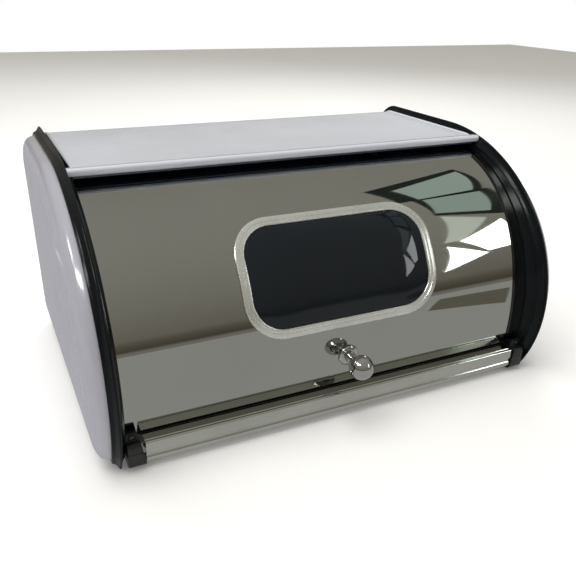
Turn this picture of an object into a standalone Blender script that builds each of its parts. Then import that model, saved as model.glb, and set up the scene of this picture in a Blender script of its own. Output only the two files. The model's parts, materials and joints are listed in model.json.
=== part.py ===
"""Roll-top bread bin: steel body between two black end frames, with a mirror-finish door.

Units are metres, +Z is up and -Y is the front.  X runs along the bin.  The origin is the
centre of the bounding box on the surface that the bin stands on.
"""
import math

import bmesh
import bpy

# ---- driving dimensions --------------------------------------------------------------
BODY_BACK_Y = 0.1450          # rear of the end frames
BODY_DEPTH = 0.2770           # front to back over the end frames
BODY_BOTTOM_Z = 0.0015        # the frames hang this far above the surface, on rubber feet
BODY_TOP_Z = 0.1909           # ridge of the end frames
NOSE_Z = 0.0597               # height of the foremost point of the frames
TOP_RUN_Y = 0.0225            # where the flat top ends and the front curve begins
BACK_CORNER_R = 0.0310        # upper rear corner of the frames
REAR_FOOT_R = 0.0060          # lower rear corner of the frames

RIDGE_X = 0.1787              # ridge of a frame, from the middle of the bin
FRAME_INNER_X = 0.1743        # inner wall of a frame
FRAME_OUTER_X = 0.1840        # outer edge of a frame
FRAME_SEAT_X = 0.1822         # seat that the domed end panel sits against
FRAME_DEEP = 0.0215           # how far a frame reaches in from its ridge
DOME_X = 0.1960               # crown of the domed end panels

PIVOT_Y = 0.0127              # door axis, parallel to X
PIVOT_Z = 0.0530
DOOR_R = 0.1252               # outer face of the door
DOOR_HALF_X = 0.1733
DOOR_LOW = math.radians(-14.1)    # door angles are measured up from the front
DOOR_HIGH = math.radians(92.5)
SHEET = 0.0008                # body sheet steel
DOOR_SHEET = 0.0007
SEAL_REACH = 0.0100           # radians from the door's lower edge to the seal's
SEAL_GAP = 0.0025
GAP = 0.0003                  # between pieces that touch

WINDOW_MID = math.radians(30.5)
BEZEL_HALF_X = 0.0817
BEZEL_HALF_ARC = 0.0455
BEZEL_BAND = 0.0072
BEZEL_CORNER = 0.0311
WINDOW_LAP = 0.0012           # how far the bezel laps over the hole in the door
WINDOW_CUT = 0.0100           # reach of the hole's cutter to each side of the door
PANE_CROWN = 0.0029           # how far the pane's middle stands out of the door

KNOB_ANGLE = math.radians(-1.6)
KNOB_R = 0.0096
KNOB_REACH = 0.0196           # ball centre from the door's face
FLANGE_R = 0.0084

TOP_SHEET_Z = 0.1854          # upper face of the top
LIP_FRONT_Y = -0.0212
LIP_LOW_Z = 0.1809
LIP_HALF_X = 0.1777
HEADER_CLEAR_R = 0.1292       # room for the door and its pane under the header strip
LIP_NOTCH_REAR_Y = -0.0118
SHELL_HALF_X = 0.1740
SHELL_BACK_Y = 0.1395
BASE_Z = 0.0090               # upper face of the floor
SILL_FRONT_Y = -0.1206
SILL_TOP_Z = 0.0218
SILL_LOW_Z = 0.0050
SILL_HALF_X = 0.1612
BLOCK_HALF_TOP_X = 0.1653
TAB_TOP_Z = 0.0280
TAB_FRONT_Y = -0.1163

PIN_R = 0.0040
PIN_HEAD_X = 0.1697           # underside of the pin's inner head
BUSH_R = 0.0055
FOOT_R = 0.0085
FOOT_X = 0.1500
FOOT_FRONT_Y = -0.0950
FOOT_REAR_Y = 0.1200

ARM_X = 0.1714
ARM_LOW = 10.0                # span of the door's arms, in degrees up from the front
ARM_HIGH = 78.0

ARC_STEPS = 36                # facets of the frames' front curve
DOOR_STEPS = 44
TURN_STEPS = 28

BEHIND = -1.0                 # sheet thickness grows behind the modelled face
AHEAD = 1.0
REAR_SCREW_X = 0.1650
REAR_SCREW_Z = 0.0200
SILL_SCREW_X = 0.1697
SILL_SCREW_Z = 0.0252


# ---- scene helpers ---------------------------------------------------------------------
def clear_scene():
    for item in list(bpy.data.objects):
        bpy.data.objects.remove(item, do_unlink=True)


def new_collection(name):
    group = bpy.data.collections.new(name)
    bpy.context.scene.collection.children.link(group)
    return group


def material(name, colour, roughness, metallic=0.0, alpha=1.0):
    mat = bpy.data.materials.new(name)
    mat.use_nodes = True
    shader = mat.node_tree.nodes["Principled BSDF"]
    shader.inputs["Base Color"].default_value = (*colour, 1.0)
    shader.inputs["Roughness"].default_value = roughness
    shader.inputs["Metallic"].default_value = metallic
    shader.inputs["Alpha"].default_value = alpha
    return mat


def smooth(mesh, angle=35.0):
    mesh.shade_smooth()
    mesh.set_sharp_from_angle(angle=math.radians(angle))


def place(name, data, mat, parent=None):
    item = bpy.data.objects.new(name, data)
    PARTS.objects.link(item)
    if mat is not None:
        data.materials.append(mat)
    item.parent = parent
    return item


def as_cutter(item):
    """Move an object to the cutters and keep it out of the renders."""
    for group in list(item.users_collection):
        group.objects.unlink(item)
    CUTTERS.objects.link(item)
    item.hide_render = True
    item.display_type = "WIRE"
    return item


def cut(item, cutter, operation="DIFFERENCE"):
    mod = item.modifiers.new(operation.lower(), "BOOLEAN")
    mod.operation = operation
    mod.solver = "EXACT"
    mod.object = as_cutter(cutter)


def solidify(item, thickness, offset):
    mod = item.modifiers.new("sheet", "SOLIDIFY")
    mod.thickness = thickness
    mod.offset = offset


def round_edges(item, width, segments=2, angle=40.0):
    mod = item.modifiers.new("round", "BEVEL")
    mod.width = width
    mod.segments = segments
    mod.limit_method = "ANGLE"
    mod.angle_limit = math.radians(angle)


# ---- mesh helpers ------------------------------------------------------------------------
def mesh_from(name, build, is_solid=True):
    """Make a mesh with a bmesh builder.  A solid gets its faces turned outward."""
    bm = bmesh.new()
    build(bm)
    if is_solid:
        bmesh.ops.recalc_face_normals(bm, faces=bm.faces)
    mesh = bpy.data.meshes.new(name)
    bm.to_mesh(mesh)
    bm.free()
    smooth(mesh)
    return mesh


def loft_mesh(name, loops, closed_section=False, cap_last=False):
    """Join closed loops of points, each with the same count, into one surface."""
    def build(bm):
        rows = [[bm.verts.new(point) for point in loop] for loop in loops]
        pairs = list(zip(rows, rows[1:]))
        if closed_section:
            pairs.append((rows[-1], rows[0]))
        count = len(rows[0])
        for low, high in pairs:
            for i in range(count):
                j = (i + 1) % count
                bm.faces.new((low[i], low[j], high[j], high[i]))
        if cap_last:
            bm.faces.new(rows[-1])
    return mesh_from(name, build, closed_section)


def bent_sheet_mesh(name, path, columns, rows_of_column):
    """Sweep a (y, z) path along X.  A column of faces covers only its own rows of the path."""
    def build(bm):
        grid = {}

        def corner(i, j):
            if (i, j) not in grid:
                grid[i, j] = bm.verts.new((columns[j], *path[i]))
            return grid[i, j]

        for j in range(len(columns) - 1):
            first, last = rows_of_column(j)
            for i in range(first, last):
                bm.faces.new((corner(i, j), corner(i, j + 1), corner(i + 1, j + 1), corner(i + 1, j)))
    return mesh_from(name, build, is_solid=False)


def plate(name, outlines, x_middle, half_thickness, mat, parent=None):
    """A flat plate across X: the first (y, z) outline is its edge and the others are holes."""
    data = bpy.data.curves.new(name, "CURVE")
    data.dimensions = "2D"
    data.fill_mode = "BOTH"
    data.extrude = half_thickness
    for outline in outlines:
        spline = data.splines.new("POLY")
        spline.points.add(len(outline) - 1)
        for point, (y, z) in zip(spline.points, outline):
            point.co = (y, z, 0.0, 1.0)
        spline.use_cyclic_u = True
    item = place(name, data, mat, parent)
    item.location = (x_middle, 0.0, 0.0)
    item.rotation_euler = (math.pi / 2, 0.0, math.pi / 2)
    return item


def turned(name, profile, mat, parent=None, steps=TURN_STEPS):
    """A solid of revolution about local Z, from a (radius, z) profile that runs top to bottom."""
    bm = bmesh.new()
    verts = [bm.verts.new((radius, 0.0, z)) for radius, z in profile]
    for a, b in zip(verts, verts[1:]):
        bm.edges.new((a, b))
    if profile[0][0] > 0.0:
        bm.edges.new((verts[-1], verts[0]))
    mesh = bpy.data.meshes.new(name)
    bm.to_mesh(mesh)
    bm.free()
    item = place(name, mesh, mat, parent)
    mod = item.modifiers.new("turn", "SCREW")
    mod.steps = steps
    mod.render_steps = steps
    mod.use_merge_vertices = True
    mod.merge_threshold = 0.00001
    mod.use_smooth_shade = True
    return item


def cylinder_cutter(name, radius, depth, parent=None):
    def build(bm):
        bmesh.ops.create_cone(bm, cap_ends=True, segments=TURN_STEPS, radius1=radius, radius2=radius,
                              depth=depth)
    return place(name, mesh_from(name, build), None, parent)


def box_mesh(name, low, high):
    def build(bm):
        bmesh.ops.create_cube(bm, size=1.0)
        for vert in bm.verts:
            vert.co = [low[k] + (vert.co[k] + 0.5) * (high[k] - low[k]) for k in range(3)]
    return mesh_from(name, build)


def arc(y, z, radius, start, end, steps):
    """Points of an arc in the YZ plane.  Angles are in degrees, from +Y towards +Z."""
    turn = [math.radians(start + (end - start) * i / steps) for i in range(steps + 1)]
    return [(y + radius * math.cos(a), z + radius * math.sin(a)) for a in turn]


# ---- outlines ------------------------------------------------------------------------------
def frame_outline(inset):
    """The D shape of the bin's ends, drawn in by an inset: a half ellipse with a square back."""
    half_y = TOP_RUN_Y - (BODY_BACK_Y - BODY_DEPTH) - inset
    half_z = BODY_TOP_Z - NOSE_Z - inset
    floor_z = BODY_BOTTOM_Z + inset
    last = math.pi + math.asin((NOSE_Z - floor_z) / half_z)
    points = []
    for i in range(ARC_STEPS + 1):
        a = math.pi / 2 + (last - math.pi / 2) * i / ARC_STEPS
        points.append((TOP_RUN_Y + half_y * math.cos(a), NOSE_Z + half_z * math.sin(a)))
    back = BODY_BACK_Y - inset
    low_r = max(REAR_FOOT_R - inset, 0.0012)
    top_r = max(BACK_CORNER_R - inset, 0.0040)
    points += arc(back - low_r, floor_z + low_r, low_r, -90.0, 0.0, 3)
    points += arc(back - top_r, NOSE_Z + half_z - top_r, top_r, 0.0, 90.0, 8)
    return points


def frame_loop(x, inset):
    return [(x, y, z) for y, z in frame_outline(inset)]


def door_point(radius, angle, x=0.0):
    """A point around the door's axis, in the frame of the pivot."""
    return (x, -radius * math.cos(angle), radius * math.sin(angle))


def window_loop(half_x, half_arc, corner, radius):
    """A rounded rectangle wrapped round the door's axis, centred on the window."""
    flat = []
    quarter = 7
    side_steps = 6
    corners = ((1, 1, 0.0), (-1, 1, 90.0), (-1, -1, 180.0), (1, -1, 270.0))
    for number, (sx, sy, start) in enumerate(corners):
        for i in range(quarter + 1):
            a = math.radians(start + 90.0 * i / quarter)
            flat.append((sx * (half_x - corner) + corner * math.cos(a),
                         sy * (half_arc - corner) + corner * math.sin(a)))
        next_x, next_y, _ = corners[(number + 1) % 4]
        runs_up = number in (1, 3)
        reach = half_arc - corner if runs_up else half_x - corner
        for i in range(1, side_steps):
            step = reach * (1.0 - 2.0 * i / side_steps)
            if runs_up:
                flat.append((sx * half_x, sy * step))
            else:
                flat.append((sx * step, sy * half_arc))
    return [door_point(radius, WINDOW_MID + up / DOOR_R, x) for x, up in flat]


# ---- fixed body ----------------------------------------------------------------------------
def end_frame(side, sign):
    """The black moulded D frame, with a ridge and two hollow flanks."""
    section = ((RIDGE_X - 0.0007, 0.0003), (RIDGE_X, 0.0), (RIDGE_X + 0.0007, 0.0003),
               (RIDGE_X + 0.0018, 0.0020), (RIDGE_X + 0.0032, 0.0036), (FRAME_OUTER_X, 0.0046),
               (FRAME_OUTER_X, 0.0064), (FRAME_SEAT_X, 0.0068), (FRAME_SEAT_X, FRAME_DEEP),
               (FRAME_INNER_X, FRAME_DEEP), (FRAME_INNER_X, 0.0070), (FRAME_INNER_X + 0.0006, 0.0060),
               (FRAME_INNER_X + 0.0020, 0.0044), (FRAME_INNER_X + 0.0032, 0.0022))
    mesh = loft_mesh(side + "_end_frame", [frame_loop(sign * x, inset) for x, inset in section], True)
    item = place(side + "_end_frame", mesh, BLACK)
    notch = sorted((sign * (FRAME_INNER_X - 0.002), sign * (LIP_HALF_X + GAP)))
    cutter = box_mesh(side + "_lip_notch", (notch[0], LIP_FRONT_Y - GAP, LIP_LOW_Z - GAP),
                      (notch[1], LIP_NOTCH_REAR_Y, BODY_TOP_Z + 0.005))
    cut(item, place(side + "_lip_notch", cutter, None))


def end_panel(side, sign):
    """The pressed steel end, domed outward inside its frame."""
    edge = 0.0070
    steps = ((0.0, 0.0), (0.0003, 0.0030), (0.0022, 0.0070), (0.0062, 0.0100), (0.0130, 0.0118),
             (0.0240, 0.0128), (0.0420, 0.0133))
    start_x = DOME_X - steps[-1][1]
    loops = [frame_loop(sign * (start_x + rise), edge + inset) for inset, rise in steps]
    item = place(side + "_end_panel", loft_mesh(side + "_end_panel", loops, cap_last=True), WHITE)
    solidify(item, SHEET, -sign)


def side_liner(side, sign):
    """The flat inner wall that carries the door's pivot."""
    middle = sign * (FRAME_INNER_X + 0.0010)
    hole = arc(PIVOT_Y, PIVOT_Z, PIN_R + GAP, 0.0, 360.0 - 360.0 / TURN_STEPS, TURN_STEPS - 1)
    plate(side + "_side_liner", (frame_outline(FRAME_DEEP + GAP), hole), middle, 0.0009, GREY)


def pivot_pin(side, sign):
    """A headed pin through the liner, with its rear head in the hollow of the end."""
    head_x = 0.0027
    profile = ((0.0, head_x), (0.0060, head_x), (0.0078, head_x - 0.0010), (0.0078, 0.0),
               (PIN_R, 0.0), (PIN_R, -0.0067), (0.0070, -0.0067), (0.0070, -0.0085), (0.0, -0.0085))
    pin = turned(side + "_pivot_pin", profile, STEEL)
    pin.location = (sign * PIN_HEAD_X, PIVOT_Y, PIVOT_Z)
    pin.rotation_euler = (0.0, -sign * math.pi / 2, 0.0)


def body_shell():
    """Top and back in one sheet, with a rolled lip that runs over the notches of the frames."""
    lip = [(LIP_FRONT_Y + 0.0032, LIP_LOW_Z + 0.0002), (LIP_FRONT_Y + 0.0014, LIP_LOW_Z)]
    lip += arc(LIP_FRONT_Y + 0.0012, LIP_LOW_Z + 0.0012, 0.0012, 250.0, 180.0, 2)
    lip += arc(LIP_FRONT_Y + 0.0026, LIP_LOW_Z + 0.0028, 0.0026, 175.0, 75.0, 5)
    lip += [(-0.0160, TOP_SHEET_Z + 0.0006), (-0.0125, TOP_SHEET_Z + 0.0002)]
    corner = BACK_CORNER_R - (BODY_BACK_Y - SHELL_BACK_Y)
    path = lip + [(-0.0080, TOP_SHEET_Z)]
    path += arc(SHELL_BACK_Y - corner, TOP_SHEET_Z - corner, corner, 90.0, 0.0, 10)
    path += [(SHELL_BACK_Y, BASE_Z - 0.0006)]
    columns = (-LIP_HALF_X, -SHELL_HALF_X, 0.0, SHELL_HALF_X, LIP_HALF_X)
    whole = (0, len(path) - 1)
    only_lip = (0, len(lip) - 1)
    mesh = bent_sheet_mesh("body_shell", path, columns,
                           lambda column: only_lip if column in (0, 3) else whole)
    item = place("body_shell", mesh, WHITE)
    solidify(item, SHEET, BEHIND)
    for side, sign in SIDES:
        hole = cylinder_cutter(side + "_rear_hole", 0.0019, 0.01)
        hole.location = (sign * REAR_SCREW_X, SHELL_BACK_Y, REAR_SCREW_Z)
        hole.rotation_euler = (math.pi / 2, 0.0, 0.0)
        cut(item, hole)


def base_panel():
    """The floor sheet, with its front edge turned up behind the sill."""
    path = [(-0.1034, 0.0195), (-0.1034, BASE_Z + 0.0016)]
    path += [(-0.1029, BASE_Z + 0.0004), (-0.1016, BASE_Z)]
    path += [(SHELL_BACK_Y - SHEET - GAP, BASE_Z)]
    mesh = bent_sheet_mesh("base_panel", path, (-SHELL_HALF_X, 0.0, SHELL_HALF_X),
                           lambda column: (0, len(path) - 1))
    solidify(place("base_panel", mesh, WHITE), SHEET, BEHIND)


def header_strip():
    """The black strip under the lip, hollowed along its underside to clear the door."""
    front = LIP_FRONT_Y + 0.0040
    rear = 0.0120
    top = TOP_SHEET_Z - SHEET - GAP
    steps = 6
    low = []
    for i in range(steps + 1):
        y = front + (rear - front) * i / steps
        low.append((y, PIVOT_Z + math.sqrt(HEADER_CLEAR_R ** 2 - (y - PIVOT_Y) ** 2)))
    plate("header_strip", (low + [(rear, top), (front, top)],), 0.0, SHELL_HALF_X - 0.0002, BLACK)


def front_sill():
    """The polished rail under the door: a rebate, a ledge, a front face and a rolled bead."""
    front = SILL_FRONT_Y
    top = SILL_TOP_Z
    low = SILL_LOW_Z
    path = [(-0.1062, top - 0.0014), (-0.1096, top - 0.0014), (-0.1100, top - 0.0004), (-0.1106, top)]
    path += [(front + 0.0034, top), (front + 0.0029, top - 0.0006), (front + 0.0022, top - 0.0001)]
    path += arc(front + 0.0014, top - 0.0014, 0.0014, 90.0, 180.0, 4)
    path += [(front, low + 0.0074), (front + 0.0010, low + 0.0066)]
    path += arc(front + 0.0022, low + 0.0032, 0.0030, 140.0, 270.0, 6)
    path += [(-0.1100, low + 0.0002)]
    mesh = bent_sheet_mesh("front_sill", path, (-SILL_HALF_X, 0.0, SILL_HALF_X),
                           lambda column: (0, len(path) - 1))
    solidify(place("front_sill", mesh, POLISHED), 0.0006, AHEAD)


def sill_block(side, sign):
    """The black corner block that closes the sill and carries a tab in front of the door."""
    front = SILL_FRONT_Y - 0.0010
    outline = [(-0.1046, 0.0024), (front + 0.0042, 0.0024)]
    outline += arc(front + 0.0042, 0.0066, 0.0042, 250.0, 180.0, 3)
    outline += [(front, 0.0196)] + arc(front + 0.0026, 0.0196, 0.0026, 170.0, 90.0, 3)
    outline += [(TAB_FRONT_Y, 0.0226), (-0.1161, TAB_TOP_Z - 0.0004), (-0.1155, TAB_TOP_Z),
                (-0.1142, TAB_TOP_Z), (-0.1138, TAB_TOP_Z - 0.0004), (-0.1138, 0.0204), (-0.1046, 0.0204)]
    inner = SILL_HALF_X + GAP
    outer = FRAME_INNER_X - GAP
    slant = (BLOCK_HALF_TOP_X - inner) / (TAB_TOP_Z - SILL_LOW_Z)

    def build(bm):
        rows = []
        for x, lean in ((inner, slant), (outer, 0.0)):
            rows.append([bm.verts.new((sign * (x + lean * max(z - SILL_LOW_Z, 0.0)), y, z))
                         for y, z in outline])
        for i in range(len(outline)):
            j = (i + 1) % len(outline)
            bm.faces.new((rows[0][i], rows[0][j], rows[1][j], rows[1][i]))
        bm.faces.new(rows[0])
        bm.faces.new(rows[1])
    item = place(side + "_sill_block", mesh_from(side + "_sill_block", build), BLACK)
    round_edges(item, 0.0004)
    hole = cylinder_cutter(side + "_sill_hole", 0.0011, 0.0044)
    hole.location = (sign * SILL_SCREW_X, TAB_FRONT_Y, SILL_SCREW_Z)
    hole.rotation_euler = (math.pi / 2, 0.0, 0.0)
    cut(item, hole)


def screw(name, head_r, head_h, shank_r, shank_l, mat, parent=None):
    """A pan-head screw along local Z, its head's underside at the origin."""
    profile = ((0.0, head_h), (head_r * 0.55, head_h * 0.92), (head_r * 0.88, head_h * 0.62),
               (head_r, head_h * 0.2), (head_r, 0.0), (shank_r, 0.0), (shank_r, -shank_l),
               (0.0, -shank_l))
    return turned(name, profile, mat, parent, 16)


def sill_screw(side, sign):
    item = screw(side + "_sill_screw", 0.0019, 0.0009, 0.0008, 0.0014, DARK_STEEL)
    item.location = (sign * SILL_SCREW_X, TAB_FRONT_Y - GAP, SILL_SCREW_Z)
    item.rotation_euler = (math.pi / 2, 0.0, 0.0)


def rear_bracket(side, sign):
    """The corner block inside the rear of the body, which the shell is screwed to."""
    span = sorted((sign * 0.1580, sign * (SHELL_HALF_X - 0.0001)))
    low = (span[0], 0.1240, BASE_Z + GAP)
    high = (span[1], SHELL_BACK_Y - SHEET - GAP, 0.0310)
    item = place(side + "_rear_bracket", box_mesh(side + "_rear_bracket", low, high), BLACK)
    round_edges(item, 0.0012)
    hole = cylinder_cutter(side + "_bracket_hole", 0.0018, 0.0200)
    hole.location = (sign * REAR_SCREW_X, SHELL_BACK_Y, REAR_SCREW_Z)
    hole.rotation_euler = (math.pi / 2, 0.0, 0.0)
    cut(item, hole)


def rear_screw(side, sign):
    item = screw(side + "_rear_screw", 0.0034, 0.0018, 0.0015, 0.0085, STEEL)
    item.location = (sign * REAR_SCREW_X, SHELL_BACK_Y + GAP, REAR_SCREW_Z)
    item.rotation_euler = (-math.pi / 2, 0.0, 0.0)


def rubber_foot(name, x, y):
    height = BASE_Z - SHEET - GAP
    profile = ((0.0, height), (FOOT_R - 0.0010, height), (FOOT_R, height - 0.0010), (FOOT_R - 0.0006, 0.0012),
               (FOOT_R - 0.0018, 0.0), (0.0, 0.0))
    turned(name, profile, RUBBER, steps=20).location = (x, y, 0.0)


# ---- door ----------------------------------------------------------------------------------
def door_sheet():
    """The polished sheet, rolled to a part cylinder about the pivot."""
    path = []
    for i in range(DOOR_STEPS + 1):
        a = DOOR_LOW + (DOOR_HIGH - DOOR_LOW) * i / DOOR_STEPS
        path.append(door_point(DOOR_R, a)[1:])
    mesh = bent_sheet_mesh("door_sheet", path, (-DOOR_HALF_X, 0.0, DOOR_HALF_X),
                           lambda column: (0, len(path) - 1))
    item = place("door_sheet", mesh, MIRROR, PIVOT)
    solidify(item, DOOR_SHEET, BEHIND)
    half_x = BEZEL_HALF_X - BEZEL_BAND + WINDOW_LAP
    half_arc = BEZEL_HALF_ARC - BEZEL_BAND + WINDOW_LAP
    corner = BEZEL_CORNER - BEZEL_BAND + WINDOW_LAP
    reaches = (DOOR_R - WINDOW_CUT, DOOR_R + WINDOW_CUT)
    loops = [window_loop(half_x, half_arc, corner, radius) for radius in reaches]

    def build(bm):
        rows = [[bm.verts.new(point) for point in loop] for loop in loops]
        for i in range(len(rows[0])):
            j = (i + 1) % len(rows[0])
            bm.faces.new((rows[0][i], rows[0][j], rows[1][j], rows[1][i]))
        bm.faces.new(rows[0])
        bm.faces.new(rows[1])
    cut(item, place("window_hole", mesh_from("window_hole", build), None, PIVOT))
    hole = cylinder_cutter("knob_hole", 0.0026, 0.010, PIVOT)
    hole.location = door_point(DOOR_R, KNOB_ANGLE)
    hole.rotation_euler = (math.pi / 2 - KNOB_ANGLE, 0.0, 0.0)
    cut(item, hole)


def window_bezel():
    """The brushed frame round the window, with a step along its middle."""
    def loop(drawn_in, height):
        return window_loop(BEZEL_HALF_X - drawn_in, BEZEL_HALF_ARC - drawn_in,
                           BEZEL_CORNER - drawn_in, DOOR_R + height)
    section = ((0.0, GAP), (0.0, 0.0012), (0.0008, 0.0018), (0.0034, 0.0022), (0.0040, 0.0017),
               (BEZEL_BAND - 0.0006, 0.0015), (BEZEL_BAND, 0.0010), (BEZEL_BAND, GAP))
    mesh = loft_mesh("window_bezel", [loop(*step) for step in section], True)
    place("window_bezel", mesh, BRUSHED, PIVOT)


def window_pane():
    """The smoked pane, crowned outward from its edge."""
    edge = BEZEL_BAND + GAP
    steps = ((0.0, 0.0006), (0.0012, 0.0013), (0.0050, 0.0019), (0.0120, 0.0024), (0.0220, 0.0028),
             (0.0300, PANE_CROWN))
    loops = []
    for drawn_in, height in steps:
        inset = edge + drawn_in
        half_arc = BEZEL_HALF_ARC - inset
        corner = max(BEZEL_CORNER - inset, min(half_arc, 0.0080) * 0.9)
        loops.append(window_loop(BEZEL_HALF_X - inset, half_arc, corner, DOOR_R + height))
    item = place("window_pane", loft_mesh("window_pane", loops, cap_last=True), SMOKED, PIVOT)
    solidify(item, 0.0009, BEHIND)


def window_retainer():
    """The black ring behind the door that holds the pane."""
    def loop(drawn_in, radius):
        return window_loop(BEZEL_HALF_X - drawn_in, BEZEL_HALF_ARC - drawn_in,
                           BEZEL_CORNER - drawn_in, radius)
    outer = DOOR_R - DOOR_SHEET - GAP
    section = ((0.0015, outer), (0.0015, outer - 0.0016), (BEZEL_BAND + 0.0025, outer - 0.0016),
               (BEZEL_BAND + 0.0025, outer))
    mesh = loft_mesh("window_retainer", [loop(*step) for step in section], True)
    place("window_retainer", mesh, BLACK, PIVOT)


def door_edge(name, low, high):
    """A black strip along an edge of the door."""
    path = [door_point(DOOR_R + 0.0003, low + (high - low) * i / 2)[1:] for i in range(3)]
    mesh = bent_sheet_mesh(name, path, (-DOOR_HALF_X, 0.0, DOOR_HALF_X), lambda column: (0, 2))
    solidify(place(name, mesh, RUBBER, PIVOT), 0.0016, BEHIND)


def door_arm(side, sign):
    """A fan-shaped arm from the pivot to the inside of the door."""
    reach = DOOR_R - DOOR_SHEET - GAP
    low, high = ARM_LOW, ARM_HIGH
    rim = []
    steps = 16
    for i in range(steps + 1):
        rim.append(door_point(reach, math.radians(low + (high - low) * i / steps))[1:])
    hub = arc(0.0, 0.0, 0.0140, 180.0 - high - 55.0, 180.0 - low - 305.0, 14)
    hole = arc(0.0, 0.0, BUSH_R + GAP, 0.0, 360.0 - 360.0 / TURN_STEPS, TURN_STEPS - 1)
    plate(side + "_door_arm", (rim + hub, hole), sign * ARM_X, 0.0014, BLACK, PIVOT)


def pivot_bush(side, sign):
    profile = ((PIN_R + GAP, 0.0014), (BUSH_R, 0.0014), (BUSH_R, -0.0014), (PIN_R + GAP, -0.0014))
    item = turned(side + "_pivot_bush", profile, NYLON, PIVOT)
    item.location = (sign * ARM_X, 0.0, 0.0)
    item.rotation_euler = (0.0, math.pi / 2, 0.0)


def on_knob_axis(item, height):
    item.location = door_point(DOOR_R + height, KNOB_ANGLE)
    item.rotation_euler = (math.pi / 2 - KNOB_ANGLE, 0.0, 0.0)


def knob():
    """Flange, ball on its neck, and the screw and washer that hold them from inside."""
    bore = PIN_R + GAP
    flange = turned("knob_flange", ((bore, 0.0024), (0.0058, 0.0024), (0.0078, 0.0018), (FLANGE_R, 0.0006),
                                    (FLANGE_R, 0.0), (bore, 0.0)), POLISHED, PIVOT)
    on_knob_axis(flange, GAP)
    neck_r = PIN_R
    join = math.asin(neck_r / KNOB_R)
    profile = []
    steps = 18
    for i in range(steps + 1):
        a = (math.pi - join) * i / steps
        profile.append((KNOB_R * math.sin(a), KNOB_REACH + KNOB_R * math.cos(a)))
    profile += [(neck_r * 0.86, KNOB_REACH - KNOB_R - 0.0006), (neck_r, 0.0060), (neck_r, GAP)]
    profile += [(0.0022, GAP), (0.0022, 0.0085), (0.0, 0.0085)]
    profile[0] = (0.0, profile[0][1])
    on_knob_axis(turned("knob_ball", profile, POLISHED, PIVOT, 32), 0.0)
    fixing = screw("knob_screw", 0.0042, 0.0022, 0.0019, 0.0085, STEEL, PIVOT)
    on_knob_axis(fixing, -DOOR_SHEET - 0.0010 - 2.0 * GAP)
    fixing.rotation_euler.x += math.pi
    washer = turned("knob_washer", ((0.0025, 0.0), (0.0060, 0.0), (0.0060, -0.0010), (0.0025, -0.0010)),
                    STEEL, PIVOT, 20)
    on_knob_axis(washer, -DOOR_SHEET - GAP)


# ---- assembly --------------------------------------------------------------------------------
clear_scene()
PARTS = new_collection("bread_bin")
CUTTERS = new_collection("cutters")
SIDES = (("left", -1), ("right", 1))
BLACK = material("black_plastic", (0.022, 0.026, 0.030), 0.38)
WHITE = material("white_enamel", (0.80, 0.80, 0.83), 0.22)
GREY = material("grey_liner", (0.55, 0.56, 0.58), 0.45)
POLISHED = material("polished_steel", (0.72, 0.72, 0.70), 0.10, 1.0)
MIRROR = material("mirror_steel", (0.76, 0.76, 0.75), 0.03, 1.0)
BRUSHED = material("brushed_steel", (0.62, 0.62, 0.58), 0.32, 1.0)
STEEL = material("plated_steel", (0.60, 0.60, 0.60), 0.28, 1.0)
DARK_STEEL = material("dark_screw", (0.07, 0.075, 0.085), 0.35, 0.6)
SMOKED = material("smoked_acrylic", (0.030, 0.033, 0.040), 0.05, 0.0, 0.75)
RUBBER = material("black_rubber", (0.015, 0.015, 0.016), 0.7)
NYLON = material("white_nylon", (0.78, 0.78, 0.74), 0.5)

PIVOT = bpy.data.objects.new("door_pivot", None)
PARTS.objects.link(PIVOT)
PIVOT.location = (0.0, PIVOT_Y, PIVOT_Z)

for SIDE, SIGN in SIDES:
    end_frame(SIDE, SIGN)
    end_panel(SIDE, SIGN)
    side_liner(SIDE, SIGN)
    pivot_pin(SIDE, SIGN)
    sill_block(SIDE, SIGN)
    sill_screw(SIDE, SIGN)
    rear_bracket(SIDE, SIGN)
    rear_screw(SIDE, SIGN)
    rubber_foot(SIDE + "_front_foot", SIGN * FOOT_X, FOOT_FRONT_Y)
    rubber_foot(SIDE + "_rear_foot", SIGN * FOOT_X, FOOT_REAR_Y)
    door_arm(SIDE, SIGN)
    pivot_bush(SIDE, SIGN)
body_shell()
base_panel()
header_strip()
front_sill()
door_sheet()
door_edge("door_bottom_seal", DOOR_LOW - SEAL_REACH, DOOR_LOW - SEAL_GAP)
window_bezel()
window_pane()
window_retainer()
knob()
bpy.context.view_layer.update()
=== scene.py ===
"""The finished looks of a roll-top bread bin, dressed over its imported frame.

Units are metres, +Z is up, -Y is the front and X runs along the bin.  Every piece is built in
place, at the sizes of the frame, and rides on the body that it belongs to.
"""
from __future__ import annotations

import json
import logging
import math
from dataclasses import dataclass, field
from enum import Enum
from typing import Sequence

import bmesh
import bpy
from mathutils import Matrix, Vector

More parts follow.
